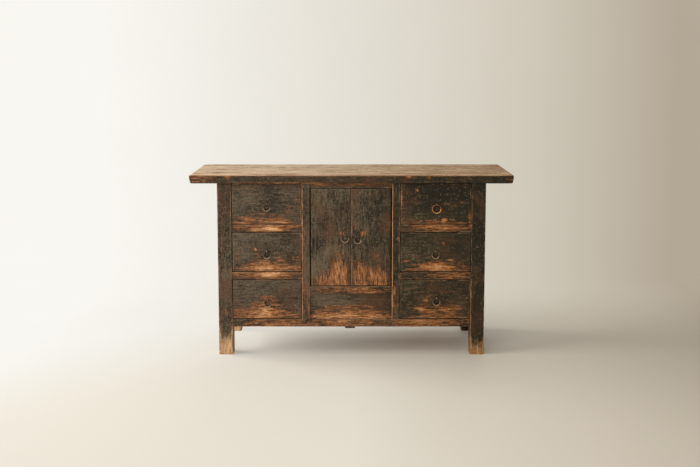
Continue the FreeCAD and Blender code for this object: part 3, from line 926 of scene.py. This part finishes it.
def rubbed_wood(surface, noises, look, wear):
    """The colour of the wood that comes through, paler the more it is rubbed, with grain and pores."""
    share = surface.math("MULTIPLY", wear, 1 / FULL_WEAR)
    wood = surface.shades(share, *zip(WOOD_STOPS, (look.rubbed, look.bare, look.fresh, POLISHED)))
    grain = surface.step(surface.total((noises.fibre, 0.5), (noises.streak, 0.5)), *GRAIN_SHADES)
    pores = surface.step(surface.total((noises.speck, 0.6), (noises.fine, 0.6)), *PORE_SHADES)
    return surface.times(wood, surface.math("MULTIPLY", grain, pores))


def aged_wood(surface, noises, look, kept_and_shade):
    """The colour of old bare wood, less pale and warmer to the right as painted shade and bounce light, and
    how much of each place is that.
    """
    old = surface.total(
        (surface.attribute("pale"), 1.0), surface.swing(noises.streak, 0.6), surface.swing(noises.chip, 0.7),
    )
    veins = surface.total(
        surface.swing(noises.fibre, 0.9), surface.swing(noises.figure, 0.9),
        surface.swing(noises.streak, 0.8), surface.swing(noises.speck, 0.6), (kept_and_shade, -0.12),
    )
    pale = surface.step(veins, VEINS_MIDDLE - look.veins, VEINS_MIDDLE + look.veins)
    dry = surface.mixed(pale, look.old, look.pale)
    return surface.tinted(kept_and_shade, dry, PAINTED_WARM_LIGHT_WOOD_TINT), surface.step(old, *AGED)


def with_rubbed_arris(surface, noises, look, wear, colour):
    """The colour, with arrises rubbed unevenly where the wood isn't polished already."""
    uneven = surface.total(
        surface.swing(noises.chip, look.arris_swing), surface.swing(noises.cloud, look.arris_swing),
    )
    rim = surface.math("ADD", surface.attribute("rim"), uneven)
    arris = surface.step(rim, look.arris_width, ARRIS_WHOLE * look.arris_width, 0.0, ARRIS_SHARE)
    unpolished = surface.step(wear, *UNPOLISHED)
    return surface.mixed(surface.math("MULTIPLY", arris, unpolished), colour, look.arris)


def with_stains_shade_and_cracks(surface, noises, colour):
    """The colour with dark stains, the painted shade on the legs' sides and backs, and fine cracks along the
    grain, and how cracked each place is.
    """
    stain_and_shade_level = surface.total((surface.attribute("darkening"), 1.0), surface.swing(noises.streak, 1.6))
    darkening = surface.step(stain_and_shade_level, *STAIN_AND_SHADE_PLACES)
    colour = surface.mixed(surface.math("MULTIPLY", darkening, STAIN_AND_SHADE_SHARE), colour, STAIN_AND_SHADE)
    from_line = surface.math("ABSOLUTE", surface.math("SUBTRACT", noises.line, 0.5))
    crack = surface.math(
        "MULTIPLY", surface.step(from_line, *CRACK_LINES), surface.step(noises.cloud, *CRACKED_PLACES),
    )
    return surface.mixed(surface.math("MULTIPLY", crack, CRACK_SHARE), colour, CRACK), crack


def with_painted_ring_shadow(surface, colour):
    """The colour with the painted shadow of a ring, and darker round its pin."""
    pull = surface.vector("pull")
    away = surface.math("ABSOLUTE", surface.math("SUBTRACT", surface.distance(pull), RING_SHADOW_PLACE))
    ring_shadow = surface.step(away, *RING_SHADOW_WIDTH)
    around_pin = surface.step(surface.distance(pull, PIN_PLACE), *PIN_WIDTH)
    return surface.mixed(surface.math("MAXIMUM", ring_shadow, around_pin), colour, RING_SHADOW_AND_PIN_DARK)


def lacquered_wood(name, along, look, has_pull=False):
    """Thin dark lacquer on elm, rubbed through in streaks, bare at the arrises and feet."""
    surface = Surface(name)
    noises = wood_noises(surface, along)
    # Painted shade and bounce light: from left to right, away from the window, the lacquer and wood are
    # painted darker and warmer
    kept_and_shade = surface.step(surface.axes()[X], *PAINTED_SHADE_TO_RIGHT)
    # worn holds the painted wear, with painted highlights on some left arrises and darker places below zero
    worn = surface.attribute("worn")
    wear, bared = worn_through(surface, noises, worn)
    coat = surface.tinted(kept_and_shade, lacquer_coat(surface, noises, look, worn, kept_and_shade), PAINTED_WARM_LIGHT_TINT)
    wood = surface.tinted(kept_and_shade, rubbed_wood(surface, noises, look, wear), PAINTED_WARM_LIGHT_WOOD_TINT)
    dry, aged = aged_wood(surface, noises, look, kept_and_shade)
    colour = surface.mixed(aged, surface.mixed(bared, coat, wood), dry)
    colour = with_rubbed_arris(surface, noises, look, wear, colour)
    colour, crack = with_stains_shade_and_cracks(surface, noises, colour)
    # A painted shadow round each ring
    if has_pull:
        colour = with_painted_ring_shadow(surface, colour)

    matt = surface.math("MAXIMUM", bared, aged)
    roughness = surface.total(
        (matt, 0.26), (noises.speck, 0.18), (noises.cloud, 0.12), (1.0, look.gloss - NOISE_ROUGHNESS),
    )
    height = surface.total(
        (noises.fibre, 0.45), (noises.streak, 0.4), (noises.chip, 0.4), (noises.speck, 0.2),
        (bared, -0.35), (crack, -1.2),
    )
    surface.relief(height, strength=0.7, depth=LACQUER_RELIEF)
    surface.feed(surface.shader.inputs["Specular IOR Level"], LACQUER_SPECULAR)
    return surface.finish(colour, roughness)


# Inner wood and metal

# Steps as above, colours and depths
INNER_TONES = (0.50, 0.84)
INNER_STAINS = (0.60, 0.72, 0.0, 0.45)
INNER_ARRIS = (2.4, 0.4, 0.0, 0.5)
INNER_ARRIS_COLOUR = srgb(190, 156, 116)
INNER_RELIEF = 1.0 * MM
METAL_RUBBED_AND_LIT = (0.52, 0.92)
METAL_RELIEF = 0.4 * MM


def plain_wood(name, along, dark, light):
    """Unfinished inner elm: dry, browned by age, with darker veins and stains."""
    surface = Surface(name)
    place = surface.place()
    fibre = surface.noise(surface.drawn_out(place, along, 14), 3.4 * MM, 3, 0.6)
    streak = surface.noise(surface.drawn_out(place, along, 9), 20 * MM, 4, 0.6, 0.4)
    cloud = surface.noise(place, 130 * MM, 3, 0.5)
    speck = surface.noise(place, 4 * MM, 2, 0.5)
    own_shade = surface.math("FRACT", surface.attribute("board"))
    tone = surface.total((fibre, 0.55), (streak, 0.45), (cloud, 0.2), (own_shade, 0.12))
    colour = surface.mixed(surface.step(tone, *INNER_TONES), dark, light)
    darkening = surface.step(surface.total((cloud, 0.7), (speck, 0.4)), *INNER_STAINS)
    colour = surface.mixed(darkening, colour, STAIN_AND_SHADE)
    rim = surface.total((surface.attribute("rim"), 1.0), surface.swing(speck, 6.0))
    colour = surface.mixed(surface.step(rim, *INNER_ARRIS), colour, INNER_ARRIS_COLOUR)
    height = surface.total((fibre, 0.6), (streak, 0.4), (speck, 0.2))
    surface.relief(height, strength=0.5, depth=INNER_RELIEF)
    return surface.finish(colour, surface.total((fibre, 0.2), (streak, 0.2), (speck, 0.1), (1.0, 0.5)))


def worn_metal(name, dark, light, metallic, roughness):
    """Old metal: a dark skin, rubbed brighter where fingers lift it and brighter low down, partly as a
    painted highlight.
    """
    surface = Surface(name)
    place = surface.place()
    patch = surface.noise(place, 11 * MM, 2, 0.5)
    pit = surface.noise(place, 1.8 * MM, 2, 0.5)
    lifted_and_lit = surface.total((patch, 0.8), (pit, 0.2), (surface.attribute("low"), 0.4))
    rubbed = surface.step(lifted_and_lit, *METAL_RUBBED_AND_LIT)
    surface.feed(surface.shader.inputs["Metallic"], metallic)
    surface.relief(surface.total((pit, 0.5), (patch, 0.3)), strength=0.35, depth=METAL_RELIEF)
    shine = surface.total((rubbed, -0.12), (pit, 0.2), (1.0, roughness))
    return surface.finish(surface.mixed(rubbed, dark, light), shine)


frame_wood = {axis: lacquered_wood("frame_lacquer_" + "xyz"[axis], axis, FRAME_LOOK) for axis in range(3)}
drawer_wood = lacquered_wood("drawer_lacquer", X, DRAWER_LOOK, has_pull=True)
door_wood = lacquered_wood("door_lacquer", Z, DOOR_LOOK, has_pull=True)
top_wood = lacquered_wood("top_wood", X, TOP_LOOK)
inner_wood = {
    axis: plain_wood("inner_wood_" + "xyz"[axis], axis, dark=srgb(112, 82, 54), light=srgb(172, 136, 96))
    for axis in range(3)
}
sooty_wood = plain_wood("sooty_wood", Y, dark=srgb(44, 32, 22), light=srgb(98, 72, 48))
iron = worn_metal(
    "iron_pull", dark=srgb(70, 58, 46), light=srgb(172, 144, 112), metallic=0.3, roughness=0.45,
)
brass = worn_metal(
    "brass_pull", dark=srgb(104, 66, 38), light=srgb(232, 164, 92), metallic=0.35, roughness=0.36,
)


# The pieces

LACQUERED_UPRIGHTS = [
    "leg_front_left", "leg_front_right", "leg_back_left", "leg_back_right", "post_left", "post_right",
]
LACQUERED_RAILS = [
    "front_bottom_rail", "door_sill_rail", "door_head_rail", "rail_left_upper", "rail_left_lower",
    "rail_right_upper", "rail_right_lower", "lower_panel",
]
LACQUERED_SIDES = ["side_rails", "side_panel_left", "side_panel_right"]
INNER_PIECES = {
    "back_rails": X, "back_boards": Z, "top_cross_rails": Y, "partition_left": Z, "partition_right": Z,
    "bottom_boards": X, "drawer_runners": Y, "floor_bearers": Y, "loose_board": X,
}
SIDES = ("left", "right")
ROWS = ("top", "middle", "bottom")
BRASS_DRAWER = ("right", "top")

for plank in TOP_PLANKS:
    board(plank, top_wood, X, wear=(TOP_REACH, TOP_LOSS))
for upright in LACQUERED_UPRIGHTS:
    board(upright, frame_wood[Z], Z)
for rail in LACQUERED_RAILS:
    board(rail, frame_wood[X], X)
for side_piece in LACQUERED_SIDES:
    board(side_piece, frame_wood[Y], Y, cell=SIDE_CELL)
for inner_piece, grain_axis in INNER_PIECES.items():
    board(inner_piece, inner_wood[grain_axis], grain_axis, cell=ROUGH_CELL)
board("bottom_batten", sooty_wood, Y, cell=ROUGH_CELL)
for side in SIDES:
    for row in ROWS:
        drawer = "drawer_" + side + "_" + row
        metal_slot, metal = ("brass_pull", brass) if (side, row) == BRASS_DRAWER else ("iron_pull", iron)
        board(drawer + "_front", drawer_wood, X, ring=drawer + "_ring")
        board(drawer + "_box", inner_wood[Y], Y, cell=ROUGH_CELL)
        forged(drawer + "_pin", metal)
        forged(drawer + "_ring", metal)
for side in SIDES:
    door = "door_" + side
    board(door + "_leaf", door_wood, Z, trim=DOOR_TENON, ring=door + "_ring")
    forged(door + "_pin", iron)
    forged(door + "_ring", iron)


# Floor and wall

ROOM = 12.0
ROOM_HEIGHT = 8.0
WALL_PLACE = 1.30
WALL_FOOT = -0.01

# The room's colour is painted window light: white towards the window and beige away from it, by the
# distance from the middle
ROOM_PAINTED_WINDOW_LIGHT = [
    (-1.6, srgb(250, 248, 242)), (0.0, srgb(229, 224, 213)), (1.2, srgb(207, 200, 184)),
    (2.1, srgb(180, 168, 150)),
]
# The lit floor is painted darker towards the window, a painted shade that offsets the lamp there, and darker
# far to the right, a painted falloff
FLOOR_PAINTED_SHADE = [
    (-2.2, srgb(168, 168, 165)), (0.0, srgb(228, 225, 217)), (0.9, srgb(222, 215, 203)),
    (2.1, srgb(196, 187, 170)),
]
MOTTLE_SIZE = 0.5
MOTTLE_SHADES = (0.2, 0.8, 0.985, 1.0)

# The far floor glows as pale as the wall, and towards the window so does the floor nearer by, as
# painted window light
FAR_FLOOR = (-0.1, 1.3)
WINDOW_LIT_FLOOR = (-0.3, 0.9)
WINDOW_LEAN = 0.6

# Far from the middle the whole room fades to one pale colour, so that it has no visible end,
# and towards the front sooner than to the sides
ROOM_END = (3.3, 6.0)
FRONT_SOONER = 1.6
END_COLOUR = srgb(236, 232, 222)

PLASTER_SPECULAR = 0.1
PLASTER_ROUGHNESS = 0.9


def by_place(surface, x, shades):
    """A colour that changes from left to right."""
    left, right = shades[0][0], shades[-1][0]
    across = surface.math("DIVIDE", surface.math("SUBTRACT", x, left), right - left)
    return surface.shades(across, *[((place - left) / (right - left), shade) for place, shade in shades])


def room_surface(name, is_floor):
    """Pale plaster, white on the left and beige on the right as painted window light, that glows in that
    colour.

    The nearer part of the floor is lit instead, so that it holds the object's shadow, and the
    wall isn't there from behind.
    """
    surface = Surface(name)
    place = surface.position()
    x, y, _ = surface.axes()
    colour = by_place(surface, x, ROOM_PAINTED_WINDOW_LIGHT)
    mottle = surface.noise(place, MOTTLE_SIZE, 3, 0.5)
    colour = surface.times(colour, surface.step(mottle, *MOTTLE_SHADES))
    gone = surface.step(surface.distance(surface.drawn_out(place, Y, 1 / FRONT_SOONER)), *ROOM_END)
    colour = surface.mixed(gone, colour, END_COLOUR)
    lit_colour = colour
    own_light = 1.0
    if is_floor:
        lit_colour = by_place(surface, x, FLOOR_PAINTED_SHADE)
        leaning = surface.total((y, 1.0), (x, -WINDOW_LEAN))
        far = surface.math("MAXIMUM", surface.step(y, *FAR_FLOOR), surface.step(leaning, *WINDOW_LIT_FLOOR))
        own_light = surface.math("MAXIMUM", far, gone)
    surface.feed(surface.shader.inputs["Specular IOR Level"], PLASTER_SPECULAR)
    surface.finish(lit_colour, PLASTER_ROUGHNESS)
    path = surface.node("LightPath")
    seen = surface.math("MAXIMUM", path.outputs["Is Camera Ray"], path.outputs["Is Glossy Ray"])
    glow = surface.node("Emission")
    surface.feed(glow.inputs["Color"], colour)
    shown = surface.blend(
        surface.math("MULTIPLY", seen, own_light), surface.shader.outputs[0], glow.outputs[0],
    )
    if not is_floor:
        behind = surface.node("NewGeometry").outputs["Backfacing"]
        shown = surface.blend(behind, shown, surface.node("BsdfTransparent").outputs[0])
    surface.feed(surface.tree.nodes["Material Output"].inputs["Surface"], shown)
    return surface.material


def flat_stage(name, corners, material):
    """One flat face of the room, which isn't part of the object."""
    data = bpy.data.meshes.new(name)
    data.from_pydata(corners, [], [(0, 1, 2, 3)])
    data.materials.append(material)
    thing = bpy.data.objects.new(name, data)
    bpy.context.scene.collection.objects.link(thing)
    return thing


flat_stage(
    "floor", [(-ROOM, -ROOM, 0), (ROOM, -ROOM, 0), (ROOM, ROOM, 0), (-ROOM, ROOM, 0)],
    room_surface("floor", is_floor=True),
)
wall = flat_stage(
    "wall",
    [
        (-ROOM, WALL_PLACE, WALL_FOOT), (ROOM, WALL_PLACE, WALL_FOOT),
        (ROOM, WALL_PLACE, ROOM_HEIGHT), (-ROOM, WALL_PLACE, ROOM_HEIGHT),
    ],
    room_surface("wall", is_floor=False),
)
wall.visible_diffuse = False
wall.visible_shadow = False


# Light and camera

WORLD_LIGHT = srgb(244, 240, 232)
WORLD_STRENGTH = 0.42


def soft_lamp(name, place, target, size, watts, colour):
    """A wide lamp that looks at a target and isn't seen itself."""
    data = bpy.data.lights.new(name, "AREA")
    data.shape = "RECTANGLE"
    data.size, data.size_y = size
    data.energy = watts
    data.color = colour[:3]
    lamp = bpy.data.objects.new(name, data)
    lamp.location = place
    lamp.rotation_euler = (Vector(target) - Vector(place)).to_track_quat("-Z", "Y").to_euler()
    lamp.visible_camera = False
    bpy.context.scene.collection.objects.link(lamp)


def studio_world():
    """An even pale light all round, seen as the room's end colour."""
    world = bpy.data.worlds.new("studio")
    world.use_nodes = True
    nodes = world.node_tree.nodes
    links = world.node_tree.links
    lit = nodes["Background"]
    lit.inputs["Color"].default_value = WORLD_LIGHT
    lit.inputs["Strength"].default_value = WORLD_STRENGTH
    seen = nodes.new("ShaderNodeBackground")
    seen.inputs["Color"].default_value = END_COLOUR
    mix = nodes.new("ShaderNodeMixShader")
    links.new(nodes.new("ShaderNodeLightPath").outputs["Is Camera Ray"], mix.inputs[0])
    links.new(lit.outputs[0], mix.inputs[1])
    links.new(seen.outputs[0], mix.inputs[2])
    links.new(mix.outputs[0], nodes["World Output"].inputs["Surface"])
    return world


soft_lamp(
    "window", place=(-3.9, -0.35, 2.0), target=(0.0, -0.35, 0.5), size=(3.6, 1.8), watts=240,
    colour=srgb(255, 250, 242),
)
soft_lamp(
    "front_fill", place=(-1.6, -4.2, 2.6), target=(0.0, 0.0, 0.4), size=(3.4, 2.2), watts=60,
    colour=srgb(255, 247, 236),
)
soft_lamp(
    "back_fill", place=(0.5, 4.4, 2.8), target=(0.0, 0.0, 0.5), size=(4.0, 2.5), watts=60,
    colour=srgb(255, 248, 238),
)
bpy.context.scene.world = studio_world()

# The lens is in millimetres on a sensor of 36, and the dip below level in degrees
CAMERA_PLACE = (-0.007, -4.303, 1.421)
CAMERA_DIP = 5.79
CAMERA_SENSOR = 36
CAMERA_LENS = 44.42
CAMERA_SHIFT = -0.12

camera_data = bpy.data.cameras.new("photo_camera")
camera_data.sensor_width = CAMERA_SENSOR
camera_data.lens = CAMERA_LENS
camera_data.shift_y = CAMERA_SHIFT
camera = bpy.data.objects.new("photo_camera", camera_data)
camera.location = CAMERA_PLACE
camera.rotation_euler = (math.radians(90 - CAMERA_DIP), 0, 0)
bpy.context.scene.collection.objects.link(camera)
bpy.context.scene.camera = camera

bpy.context.scene.view_settings.view_transform = "Standard"
